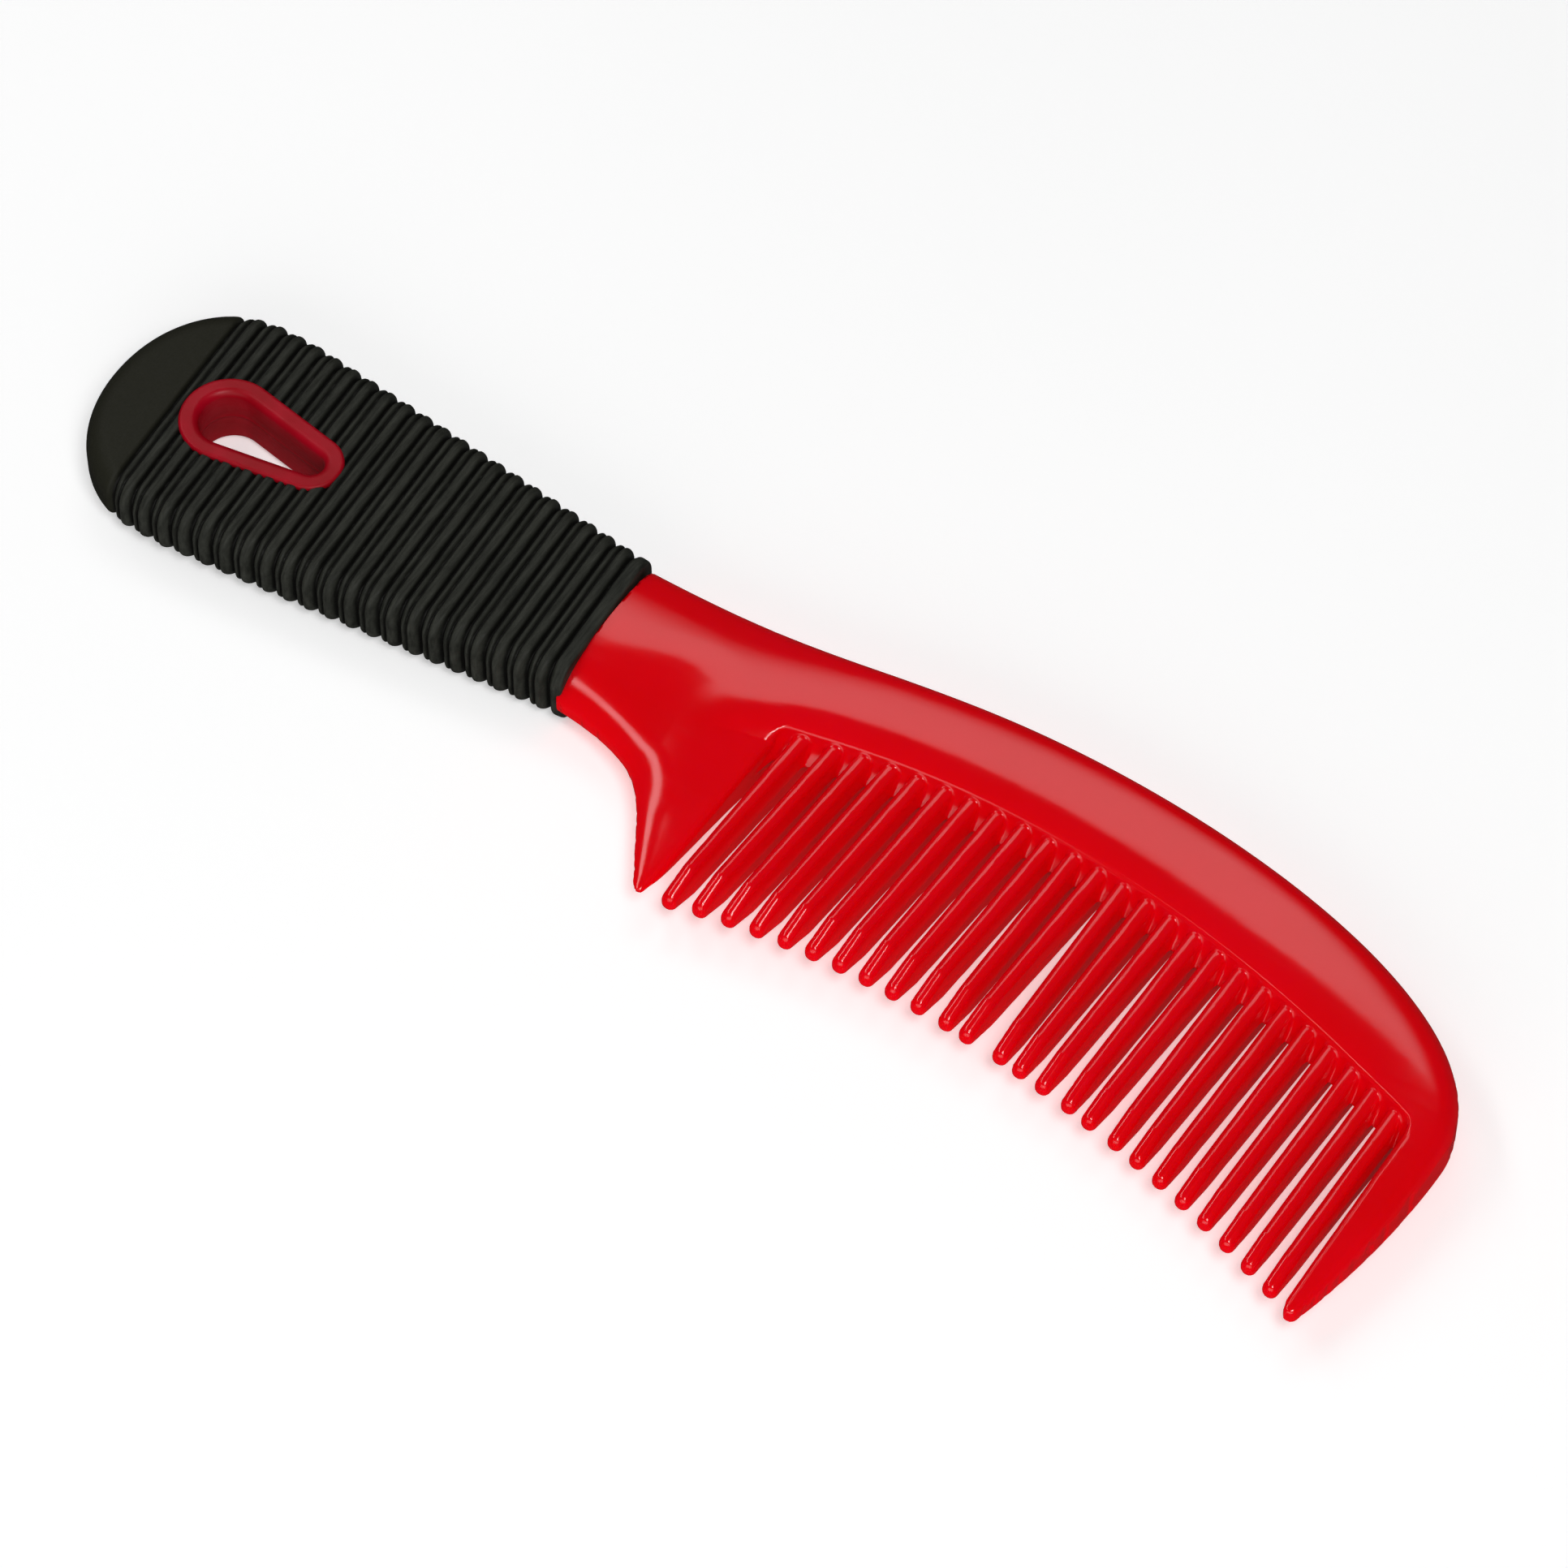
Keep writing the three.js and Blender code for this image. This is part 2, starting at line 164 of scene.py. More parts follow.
TOOTH_WIDTH = 2.8
TOOTH_ROOT_HALF = 3.8
TOOTH_END = 5.5  # length of the quicker taper at the tip
TOOTH_SHOULDER_HALF = (3.2, 2.4)  # at the heel and at the toe
TOOTH_SHOULDER_BLEND = (120, 215)  # x of the tips between which the one turns into the other
TOOTH_TIP_HALF = 1.25
TOOTH_TIP_NARROWING = 0.26
TOOTH_ROUNDING = 1.0
TOOTH_DRAFT = 0.07
TOOTH_FILLET = 0.4
TOOTH_BURIED = 3  # each tooth runs this far into the spine
TOOTH_MARGIN = (4, 5)  # a tooth is measured only from points this near to it, in x and above it in y
FAR = 50.0  # distance given to points further away

# ---------- grids that the meshes are made on ----------
FIELD_STEP = 0.5
HEAD_FIELD = ((70, -50), (236, 26))  # corners of the areas in which the outlines' distances are kept
GRIP_FIELD = ((-6, -28), (96, 28))
HEAD_STEP_X = 0.39
GRIP_STEP_X = 0.21
GRIP_STEP_Y = 0.62
STEP_Z = 0.45
EYELET_STEP = 0.34
GRID_MARGIN = 0.5  # how far the grids reach past the shapes
GRIP_MARGIN_Y = 0.8
MARGIN_Z = 0.6
EYELET_MARGIN = 0.7
# Rows of the head's grid in y from the root line: close at the tips, the ramp and the root line.
HEAD_ROWS = (
    (-35.5, -27.5, 0.45), (-27.5, -7, 0.95), (-7, -0.9, 0.5),
    (-0.9, 0.9, 0.24), (0.9, 9.4, 0.8), (9.4, 23, 0.5),
)
HEAD_LIFT = (105, 224)  # the rows follow the root line between these x
MOVES = 4  # times that each vertex is moved towards the surface
LONGEST_MOVE = 0.25
LEAST_SLOPE = 0.2  # a flatter slope, squared, counts as this in a move
TINY = 1e-9


# ---------- curves and blends ----------
def bezier(a, b, c, d, steps=60):
    t = np.linspace(0, 1, steps + 1)[:, None]
    a, b, c, d = (np.array(p, float) for p in (a, b, c, d))
    return (1 - t) ** 3 * a + 3 * (1 - t) ** 2 * t * b + 3 * (1 - t) * t**2 * c + t**3 * d


def quadratic(a, b, c, steps=40):
    t = np.linspace(0, 1, steps + 1)[:, None]
    a, b, c = (np.array(p, float) for p in (a, b, c))
    return (1 - t) ** 2 * a + 2 * (1 - t) * t * b + t**2 * c


def arc(centre, radius_x, radius_y, start, end, steps=24, fullness=1.0):
    """Points on an ellipse's arc between two angles in degrees. A fullness below 1 squares it up."""
    t = np.radians(np.linspace(start, end, steps + 1))
    c, s = (np.sign(f) * np.abs(f) ** fullness for f in (np.cos(t), np.sin(t)))
    return np.stack([centre[0] + radius_x * c, centre[1] + radius_y * s], 1)


def smoothstep(low, high, x):
    t = np.clip((x - low) / (high - low), 0, 1)
    return t * t * (3 - 2 * t)


def mix(a, b, t):
    return a + (b - a) * t


def round_max(a, b, radius):
    """Intersection of two distances with a rounded outer edge."""
    outside = np.hypot(np.maximum(a + radius, 0), np.maximum(b + radius, 0))
    return np.minimum(np.maximum(a, b), -radius) + outside


def round_min(a, b, radius):
    """Union of two distances with a rounded inner corner."""
    inside = np.hypot(np.maximum(radius - a, 0), np.maximum(radius - b, 0))
    return np.maximum(np.minimum(a, b), radius) - inside


def soft_min(a, b, width):
    h = np.maximum(width - np.abs(a - b), 0) / width
    return np.minimum(a, b) - h * h * width / 4


def outline_distance(x, y, line, closed_line):
    """Distance to an open line of points, negative inside the closed one."""
    nearest = np.full(x.shape, np.inf)
    for (ax, ay), (bx, by) in zip(line[:-1], line[1:]):
        dx, dy = bx - ax, by - ay
        t = np.clip(((x - ax) * dx + (y - ay) * dy) / (dx * dx + dy * dy), 0, 1)
        nearest = np.minimum(nearest, (x - ax - t * dx) ** 2 + (y - ay - t * dy) ** 2)
    inside = np.zeros(x.shape, bool)
    for (ax, ay), (bx, by) in zip(closed_line, np.roll(closed_line, -1, axis=0)):
        if ay != by:
            inside ^= ((ay > y) != (by > y)) & (x < (bx - ax) * (y - ay) / (by - ay) + ax)
    return np.where(inside, -1, 1) * np.sqrt(nearest)


class Field:
    """A function of x and y kept on a square grid and read back with cubic B-splines, so it is smooth."""

    def __init__(self, low, high, step, function):
        self.low = low
        self.step = step
        xs = np.arange(low[0], high[0] + step, step)
        ys = np.arange(low[1], high[1] + step, step)
        gx, gy = np.meshgrid(xs, ys, indexing="ij")
        self.values = function(gx.ravel(), gy.ravel()).reshape(gx.shape)

    def __call__(self, x, y):
        indices, weights = [], []
        for axis, q in enumerate((x, y)):
            f = (q - self.low[axis]) / self.step
            i = np.clip(np.floor(f).astype(int), 1, self.values.shape[axis] - 3)
            t = np.clip(f - i, 0, 1)
            indices.append(i)
            weights.append([
                (1 - t) ** 3 / 6,
                (3 * t**3 - 6 * t**2 + 4) / 6,
                (-3 * t**3 + 3 * t**2 + 3 * t + 1) / 6,
                t**3 / 6,
            ])
        total = np.zeros(x.shape)
        for a in range(4):
            for b in range(4):
                values = self.values[indices[0] + a - 1, indices[1] + b - 1]
                total += weights[0][a] * weights[1][b] * values
        return total


# ---------- distance to a mesh ----------
def gradient(distance, points, step=0.02):
    """Slope of a distance function by central differences."""
    slope = np.zeros(points.shape)
    for axis in range(3):
        shift = np.zeros(3)
        shift[axis] = step
        slope[:, axis] = (distance(points + shift) - distance(points - shift)) / (2 * step)
    return slope


def surface(name, distance, xs, ys, zs, lift=None):
    """A closed mesh where the distance is zero, from a grid whose y may be lifted along x.

    Each grid cell that the surface crosses gets one vertex, which is then moved onto the surface. The
    vertices are returned too, in the drawing frame.
    """
    grid = np.stack(np.meshgrid(xs, ys, zs, indexing="ij"), -1)
    if lift is not None:
        grid[..., 1] += lift(xs)[:, None, None]
    values = distance(grid.reshape(-1, 3)).reshape(grid.shape[:3])
    cells = np.array(values.shape) - 1
    units = np.eye(3, dtype=int)
    cell_ids, crossings, quads = [], [], []
    for axis in range(3):
        u, v = units[(axis + 1) % 3], units[(axis + 2) % 3]
        sides = [slice(None)] * 3
        sides[axis] = slice(0, -1)
        lower = values[tuple(sides)]
        sides[axis] = slice(1, None)
        upper = values[tuple(sides)]
        hits = np.argwhere((lower < 0) != (upper < 0))
        a = values[tuple(hits.T)]
        b = values[tuple((hits + units[axis]).T)]
        t = (a / (a - b))[:, None]
        points = grid[tuple(hits.T)] * (1 - t) + grid[tuple((hits + units[axis]).T)] * t
        ring = [np.ravel_multi_index((hits - shift).T, cells) for shift in (0 * u, u, u + v, v)]
        cell_ids += ring
        crossings += [points] * 4
        ring = np.stack(ring, 1)
        quads.append(np.where((a < 0)[:, None], ring, ring[:, ::-1]))
    used, position = np.unique(np.concatenate(cell_ids), return_inverse=True)
    crossings = np.concatenate(crossings)
    counts = np.bincount(position)[:, None]
    verts = np.stack([np.bincount(position, crossings[:, k]) for k in range(3)], 1) / counts
    faces = np.searchsorted(used, np.concatenate(quads))
    for _ in range(MOVES):
        slope = gradient(distance, verts)
        size = np.maximum((slope * slope).sum(1), LEAST_SLOPE)
        step = (distance(verts) / size)[:, None] * slope
        length = np.maximum(np.linalg.norm(step, axis=1), TINY)[:, None]
        verts = verts - step * np.minimum(1, LONGEST_MOVE / length)
    normals = gradient(distance, verts)
    normals /= np.maximum(np.linalg.norm(normals, axis=1), TINY)[:, None]
    mesh = bpy.data.meshes.new(name)
    mesh.from_pydata(((verts + ORIGIN) * MM).tolist(), [], faces.tolist())
    mesh.shade_smooth()
    mesh.normals_split_custom_set_from_vertices(normals.tolist())
    piece = bpy.data.objects.new(name, mesh)
    bpy.context.scene.collection.objects.link(piece)
    return piece, verts


def places(low, high, margin, step):
    """Places of a grid along one axis, from a margin before a shape to a margin after it."""
    return np.arange(low - margin, high + margin, step)


# ---------- head shape ----------
def root_y(x):
    """The line where the spine's flank ends and the teeth start."""
    fall = np.where(x > ROOT_PEAK[0], ROOT_TOE_FALL, ROOT_HEEL_FALL)
    return ROOT_PEAK[1] - fall * (x - ROOT_PEAK[0]) ** 2


def head_outline():
    """The head's outer edge from the grip round the toe and back to the grip at the heel."""
    toe_start = (TOE_TIP[0] + GUARD_TIP_R, TOE_TIP[1])
    return np.concatenate([
        [(NECK_START_X - NECK_OVERRUN, NECK_BACK_Y)],
        bezier((GRIP_END, NECK_BACK_Y), *SPINE_RISE, SPINE_PEAK),
        bezier(SPINE_PEAK, *SPINE_FALL, TOE_SPLIT, 80)[1:],
        bezier(TOE_SPLIT, *TOE_FALL, toe_start)[1:],
        arc(TOE_TIP, GUARD_TIP_R, GUARD_TIP_R, 0, -180)[1:],
        arc(HEEL_TIP, GUARD_TIP_R, GUARD_TIP_R, 0, HEEL_TIP_END),
        quadratic(HEEL_FLANK, HEEL_FLARE, HEEL_EDGE),
        bezier(HEEL_EDGE, *NECK_FLARE, (GRIP_END, NECK_FRONT_Y))[1:],
        [(NECK_START_X - NECK_OVERRUN, NECK_FRONT_Y)],
    ])


def head_edge_fields():
    """Distances to the back edge, as far as the toe's tip, and to the front edge, from the heel's tip."""
    line = head_outline()
    toe_end = np.argmin(np.hypot(*(line - (TOE_TIP[0] - GUARD_TIP_R, TOE_TIP[1])).T)) + 1
    return [
        Field(*HEAD_FIELD, FIELD_STEP, lambda x, y, part=part: outline_distance(x, y, part, line))
        for part in (line[:toe_end], line[toe_end:])
    ]


back_edge, front_edge = head_edge_fields()


def head_top(x, y, back, front):
    """Half thickness of the head: a crown along the spine that falls to the roots and the guards' tips."""
    neck_crown = NECK_CROWN * np.maximum(NECK_CROWN_REACH + back, 0) ** 2
    spine_crown = SPINE_CROWN * np.maximum(SPINE_CROWN_REACH + back, 0) ** 3
    outside = np.maximum(mix(*FRONT_CROWN_REACH, smoothstep(*FRONT_CROWN_BLEND, x)) + front, 0)
    bent = np.minimum(outside, FRONT_CROWN_BEND)
    front_crown = NECK_CROWN * (bent**2 + 2 * FRONT_CROWN_BEND * (outside - bent))
    crown = mix(neck_crown, spine_crown, smoothstep(*SPINE_CROWN_START, x)) + front_crown
    down = np.clip((FLANK_REACH - (y - root_y(x))) / FLANK_REACH, 0, FLANK_LIMIT)
    flank = down**FLANK_POWER * FLANK_DROP
    flank *= smoothstep(*FLANK_START, x) * (1 - smoothstep(*FLANK_STOP, x))
    thinning = [
        np.clip((start - y) / (start - tip[1] + GUARD_TIP_R), 0, SLOPE_LIMIT) ** power
        for (start, power), tip in ((HEEL_SLOPE, HEEL_TIP), (TOE_SLOPE, TOE_TIP))
    ]
    ends = (BODY_HALF - GUARD_TIP_HALF) * mix(*thinning, smoothstep(*SLOPE_BLEND, x))
    return soft_min(BODY_HALF - ends, BODY_HALF - crown - flank, TOP_BLEND)


def slot_distance(x, y, height):
    """Two distances, positive in the open space of the teeth: one from its guards' walls and hollow ramp
    together, and one from the ramp alone.
    """
    heel_x = HEEL_TIP[0] + GUARD_TIP_R
    heel_lean = (HEEL_WALL_TOP_X - heel_x) / (root_y(HEEL_WALL_TOP_X) - HEEL_TIP[1])
    toe_x = TOE_TIP[0] - GUARD_TIP_R
    toe_lean = (TOE_WALL_TOP[0] - toe_x) / (TOE_WALL_TOP[1] - TOE_TIP[1])
    from_heel = x - heel_x - heel_lean * (y - HEEL_TIP[1])
    from_toe = toe_x + toe_lean * (y - TOE_TIP[1]) - x
    down = 1 - (root_y(x) - y) / RAMP_LENGTH  # 1 on the root line, 0 at the ramp's far edge
    ramp = RAMP_HALF * (RAMP_SHAPE[0] * down + RAMP_SHAPE[1] * down**3)
    slope = RAMP_HALF / RAMP_LENGTH * RAMP_SLOPE * down**2
    from_ramp = (np.hypot(height, RAMP_EDGE_ROUND) - ramp) / np.sqrt(1 + slope**2)
    return round_min(round_min(from_heel, from_ramp, SLOT_CORNER), from_toe, SLOT_CORNER), from_ramp


def tooth_distance(points, node):
    """One tooth: deep at the root, slimmer to the shoulder, then tapering to a round tip."""
    low, high = drawing_box(node)
    tip = np.array([low[0] + TOOTH_WIDTH / 2, low[1]])
    root = np.array([high[0] - TOOTH_WIDTH / 2, high[1]])
    length = np.linalg.norm(tip - root)
    along = (tip - root) / length
    x, y = points[:, 0] - root[0], points[:, 1] - root[1]
    t = x * along[0] + y * along[1]
    across = np.abs(x * along[1] - y * along[0])
    height = np.abs(points[:, 2])
    shoulder = length - TOOTH_END
    shoulder_half = mix(*TOOTH_SHOULDER_HALF, smoothstep(*TOOTH_SHOULDER_BLEND, tip[0]))
    depth = np.interp(t, [0, shoulder, length], [TOOTH_ROOT_HALF, shoulder_half, TOOTH_TIP_HALF])
    width = TOOTH_WIDTH / 2 - TOOTH_TIP_NARROWING * np.clip(t / length, 0, 1)
    r = TOOTH_ROUNDING
    q = np.stack([across + TOOTH_DRAFT * height - width + r, height - depth + r, t - length + r])
    inner = np.minimum(q.max(0), 0)
    return np.maximum(np.linalg.norm(np.maximum(q, 0), axis=0) + inner - r, -t - TOOTH_BURIED)


def head_distance(points):
    """The whole red head with its teeth, as one moulding."""
    x, y = points[:, 0], points[:, 1]
    height = np.abs(points[:, 2])
    back, front = back_edge(x, y), front_edge(x, y)
    edge = np.where(np.abs(back) < np.abs(front), back, front)
    top = head_top(x, y, back, front)
    front_side = smoothstep(*FRONT_SIDE_Y, y) * (1 - smoothstep(*FRONT_SIDE_STOP, x))
    stretch = mix(1, mix(NECK_STRETCH, HEEL_STRETCH, smoothstep(*HEEL_STRETCH_Y, y)), front_side)
    rounding = mix(
        np.clip(EDGE_ROUND_PART * top, LEAST_ROUND, EDGE_ROUND),
        np.clip(FRONT_ROUND_PART * top, LEAST_ROUND, FRONT_ROUND),
        front_side,
    )
    body = round_max(edge * stretch, height - top, rounding)
    slot, ramp = slot_distance(x, y, height)
    body = round_max(body, slot, mix(*SLOT_ROUND, smoothstep(*SLOT_ROUND_BLEND, ramp)))
    margin_x, margin_y = TOOTH_MARGIN
    teeth = np.full(x.shape, FAR)
    for node in TEETH:
        low, high = drawing_box(node)
        near = (x > low[0] - margin_x) & (x < high[0] + margin_x) & (y < high[1] + margin_y)
        teeth[near] = np.minimum(teeth[near], tooth_distance(points[near], node))
    return np.maximum(round_min(body, teeth, TOOTH_FILLET), NECK_START_X - x)


def head_lift(x):
    """How far the rows of the head's grid are raised, so that they follow the root line."""
    return root_y(np.clip(x, *HEAD_LIFT))


def make_head():
    xs = places(NECK_START_X, CAD_HIGH.x / MM - ORIGIN[0], GRID_MARGIN, HEAD_STEP_X)
    ys = np.concatenate([np.arange(low, high - TINY, step) for low, high, step in HEAD_ROWS])
    zs = places(-BODY_HALF, BODY_HALF, MARGIN_Z, STEP_Z)
    return surface("comb_head", head_distance, xs, ys, zs, head_lift)[0]


# ---------- grip sizes ----------
GRIP_HALF_WIDTH = 19.7
GRIP_WIDEST_X = 22
GRIP_BUTT_X = 17.3
GRIP_BUTT_LENGTH = 16.8
GRIP_BUTT_FULLNESS = 0.965
GRIP_NECK_HALF_WIDTH = 12.1
GRIP_WAIST = (52, 16.9)
GRIP_OVERRUN = 6  # the outline runs on this far past the end of the grip, where it is cut off
GRIP_BUTT_THIN = 0.83
GRIP_EDGE = 3.5
GRIP_LIP = 0.4
GRIP_BULGE = 0.0008  # the faces fall by this times the square of the distance from the axis
RIB_PITCH = 3.4
RIB_COUNT = 22
RIB_LEAN = 0.062  # the ribs run slightly askew, by this much of x for each y
RIB_SHOULDER = (0.12, 0.32)  # how far each rib falls towards its grooves, on the faces and on the sides
FIRST_GROOVE_X = 12.1
RIBS_START = (-0.2, 0.6)  # the ribs begin between these distances from the first groove
RIBS_END = (0.4, 1.0)  # and end between these distances from the last one
GROOVE_DEPTH = 0.9
GROOVE_SPREAD = (0.3, 0.55)  # on the faces and on the sides
CREASE_DEPTH = 0.6  # a shallow crease splits each rib in two
CREASE_SHIFT = 1.35
CREASE_SPREAD = 0.27
SIDE_BAND = (-3.5, -0.8)  # the faces turn into the sides between these distances from the outline
GROOVE_PAINTED_SHADE_DEPTH = 0.5  # painted shade in the grooves: the rubber is coloured darkest from this depth down
CAP_EDGE = (-0.6, 0.0)  # the smooth cap ends between these distances from the first groove

# ---------- eyelet sizes ----------
EYELET_WIDE = (20.6, 7.3)  # x of the centre, and radius
EYELET_NARROW = (35, 4.9)
EYELET_HALF = 5.35
EYELET_RIM = 2.95
EYELET_LIP = (4.6, 3.9)  # between these heights the wall steps in under a lip that overlaps the rubber
EYELET_STEP_IN = 0.35
EYELET_DRAFT = 0.03  # slope by which the hole widens from its rims to the middle plane
EYELET_ROUND_OUT = 0.5
EYELET_ROUND_IN = 1.25
PARTING_RIDGE = (0.1, 0.25)  # height and spread


# ---------- grip shape ----------
def grip_edge_field():
    """Distance to the grip's outline: two hollow flanks joined by the round butt."""
    neck_x = GRIP_END + GRIP_OVERRUN
    waist_x, waist_y = GRIP_WAIST
    line = np.concatenate([
        quadratic((neck_x, GRIP_NECK_HALF_WIDTH), (waist_x, waist_y), (GRIP_WIDEST_X, GRIP_HALF_WIDTH)),
        arc((GRIP_BUTT_X, 0), GRIP_BUTT_LENGTH, GRIP_HALF_WIDTH, 90, 270, 90, GRIP_BUTT_FULLNESS),
        quadratic((GRIP_WIDEST_X, -GRIP_HALF_WIDTH), (waist_x, -waist_y), (neck_x, -GRIP_NECK_HALF_WIDTH)),
    ])
    return Field(*GRIP_FIELD, FIELD_STEP, lambda x, y: outline_distance(x, y, line, line))


grip_edge = grip_edge_field()


def teardrop_distance(x, y, grow=0.0):
    """Distance to two circles joined by their common tangents."""
    (wide_x, wide_r), (narrow_x, narrow_r) = EYELET_WIDE, EYELET_NARROW
    span = narrow_x - wide_x
    along, across = x - wide_x, np.abs(y)
    slant = (wide_r - narrow_r) / span
    upright = math.sqrt(1 - slant * slant)
    where = along * upright - across * slant
    beside = across * upright + along * slant - wide_r
    wide = np.hypot(along, across) - wide_r
    narrow = np.hypot(along - span, across) - narrow_r
    return np.where(where < 0, wide, np.where(where > upright * span, narrow, beside)) - grow


def rib_depth(x, y, side):
    """Depth of the ribs' pattern under the skin, where side is 1 along the outline and 0 on the faces."""
    place = x + RIB_LEAN * y - FIRST_GROOVE_X
    last = (RIB_COUNT - 1) * RIB_PITCH
    offset = place - np.clip(np.round(place / RIB_PITCH), 0, RIB_COUNT - 1) * RIB_PITCH
    groove = GROOVE_DEPTH * np.exp(-((offset / mix(*GROOVE_SPREAD, side)) ** 2))
    after = place - np.clip(np.floor(place / RIB_PITCH), 0, RIB_COUNT - 1) * RIB_PITCH - CREASE_SHIFT
    crease = CREASE_DEPTH * np.exp(-((after / CREASE_SPREAD) ** 2))
    ribbed = smoothstep(*RIBS_START, place) * (1 - smoothstep(*RIBS_END, place - last))
    shoulder = mix(*RIB_SHOULDER, side) * (2 * np.abs(offset) / RIB_PITCH - 1) ** 2
    return groove + (crease + shoulder) * ribbed


def grip_distance(points):
    x, y = points[:, 0], points[:, 1]
    half = BODY_HALF * (GRIP_BUTT_THIN + (1 - GRIP_BUTT_THIN) * x / GRIP_END) - GRIP_BULGE * y * y
    edge = grip_edge(x, y)
    skin = round_max(edge, np.abs(points[:, 2]) - half, GRIP_EDGE)
    skin = skin + rib_depth(x, y, smoothstep(*SIDE_BAND, edge))
    skin = round_max(skin, x + RIB_LEAN * y - GRIP_END, GRIP_LIP)
    return round_max(skin, -teardrop_distance(x, y, -EYELET_STEP_IN), GRIP_LIP)


def paint_attribute(piece, name, values):
    layer = piece.data.attributes.new(name, "FLOAT", "POINT")
    layer.data.foreach_set("value", values.astype(np.float32))


def make_grip():
    """The grip, with painted shade for how deep each vertex lies in a groove, and whether it is on the
    smooth butt cap.
    """
    xs = places(0, GRIP_END + RIB_LEAN * GRIP_HALF_WIDTH, GRID_MARGIN, GRIP_STEP_X)
    ys = places(-GRIP_HALF_WIDTH, GRIP_HALF_WIDTH, GRIP_MARGIN_Y, GRIP_STEP_Y)
    zs = places(-BODY_HALF, BODY_HALF, MARGIN_Z, STEP_Z)
    grip, verts = surface("rubber_grip_skin", grip_distance, xs, ys, zs)
    # painted shade: the deeper a vertex lies in a groove, the darker the rubber is coloured
    shade = np.clip(rib_depth(verts[:, 0], verts[:, 1], 0) / GROOVE_PAINTED_SHADE_DEPTH, 0, 1)
    paint_attribute(grip, "groove", shade**1.5)
    from_groove = verts[:, 0] + RIB_LEAN * verts[:, 1] - FIRST_GROOVE_X
    paint_attribute(grip, "cap", 1 - smoothstep(*CAP_EDGE, from_groove))
    return grip


# ---------- eyelet shape ----------
def eyelet_distance(points):
    """A teardrop ring with a rounded rim at each end and a faint parting ridge inside."""
    height = np.abs(points[:, 2])
    outer = teardrop_distance(points[:, 0], points[:, 1])
    inner = -outer - EYELET_RIM + EYELET_DRAFT * (EYELET_HALF - height)
    ridge = PARTING_RIDGE[0] * np.exp(-((height / PARTING_RIDGE[1]) ** 2))
    wall = outer + EYELET_STEP_IN * smoothstep(*EYELET_LIP, height)
    rim = round_max(wall, height - EYELET_HALF, EYELET_ROUND_OUT)
    return round_max(rim, inner - ridge, EYELET_ROUND_IN)


def make_eyelet():
    (wide_x, wide_r), (narrow_x, narrow_r) = EYELET_WIDE, EYELET_NARROW
    xs = places(wide_x - wide_r, narrow_x + narrow_r, EYELET_MARGIN, EYELET_STEP)
    ys = places(-wide_r, wide_r, EYELET_MARGIN, EYELET_STEP)
    zs = places(-EYELET_HALF, EYELET_HALF, GRID_MARGIN, EYELET_STEP)
    return surface("eyelet_ring", eyelet_distance, xs, ys, zs)[0]


# ---------- materials ----------
class Nodes:
    """Builds one node material."""

    def __init__(self, name):
        self.material = bpy.data.materials.new(name)
        self.material.use_nodes = True
        self.tree = self.material.node_tree
        self.shader = self.tree.nodes["Principled BSDF"]
        self.place = self.new("ShaderNodeTexCoord").outputs["Object"]

    def new(self, kind, **settings):
        node = self.tree.nodes.new(kind)
        for key, value in settings.items():
            setattr(node, key, value)
        return node

    def link(self, output, socket):
        self.tree.links.new(output, socket)

    def noise(self, size_mm, detail=3.0, roughness=0.5, stretch=(1, 1, 1)):
        """Noise whose features are about size_mm across, longer along an axis where stretch is larger."""
        mapping = self.new("ShaderNodeMapping")
        self.link(self.place, mapping.inputs["Vector"])
        mapping.inputs["Scale"].default_value = [1 / (size_mm * MM * s) for s in stretch]
        noise = self.new("ShaderNodeTexNoise")
        self.link(mapping.outputs["Vector"], noise.inputs["Vector"])
        noise.inputs["Scale"].default_value = 1.0
        noise.inputs["Detail"].default_value = detail
        noise.inputs["Roughness"].default_value = roughness
        return noise.outputs["Fac"]

    def ramp(self, value, stops):
        """Maps a value through (position, colour or grey) stops."""
        node = self.new("ShaderNodeValToRGB")
        elements = node.color_ramp.elements
        while len(elements) < len(stops):
            elements.new(0.5)
        for element, (position, colour) in zip(elements, stops):
            element.position = position
            element.color = (*colour, 1) if isinstance(colour, tuple) else (colour, colour, colour, 1)
        self.link(value, node.inputs["Fac"])
        return node.outputs["Color"]

    def blend(self, factor, a, b):
        """Mixes two colours, each a socket or an (r, g, b) colour."""
        node = self.new("ShaderNodeMix", data_type="RGBA")
        for key, value in ((0, factor), (6, a), (7, b)):
            if isinstance(value, tuple):
                node.inputs[key].default_value = (*value, 1)
            else:
                self.link(value, node.inputs[key])
        return node.outputs[2]

    def bump(self, height, distance_mm, normal=None):
        node = self.new("ShaderNodeBump")
        node.inputs["Distance"].default_value = distance_mm * MM
        self.link(height, node.inputs["Height"])
        if normal is not None:
            self.link(normal, node.inputs["Normal"])
        return node.outputs["Normal"]

    def attribute(self, name):
        return self.new("ShaderNodeAttribute", attribute_name=name).outputs["Fac"]


def red_plastic():
    n = Nodes("red_plastic")
    clouds = n.noise(22, detail=4)
    colour = n.ramp(clouds, [(0.3, (0.88, 0.0, 0.004)), (0.7, (0.95, 0.0, 0.008))])
    n.link(colour, n.shader.inputs["Base Color"])
    scuffs = n.noise(0.9, detail=5, roughness=0.65, stretch=(14, 1, 1))
    n.link(n.ramp(scuffs, [(0.35, 0.09), (0.62, 0.13), (0.8, 0.22)]), n.shader.inputs["Roughness"])
    n.link(n.bump(n.noise(2.6, detail=2), 0.012), n.shader.inputs["Normal"])
    n.shader.inputs["IOR"].default_value = 1.5
    n.shader.inputs["Subsurface Weight"].default_value = 0.7
    n.shader.inputs["Subsurface Radius"].default_value = (1.0, 0.08, 0.05)
    n.shader.inputs["Subsurface Scale"].default_value = 1.8 * MM
    return n.material


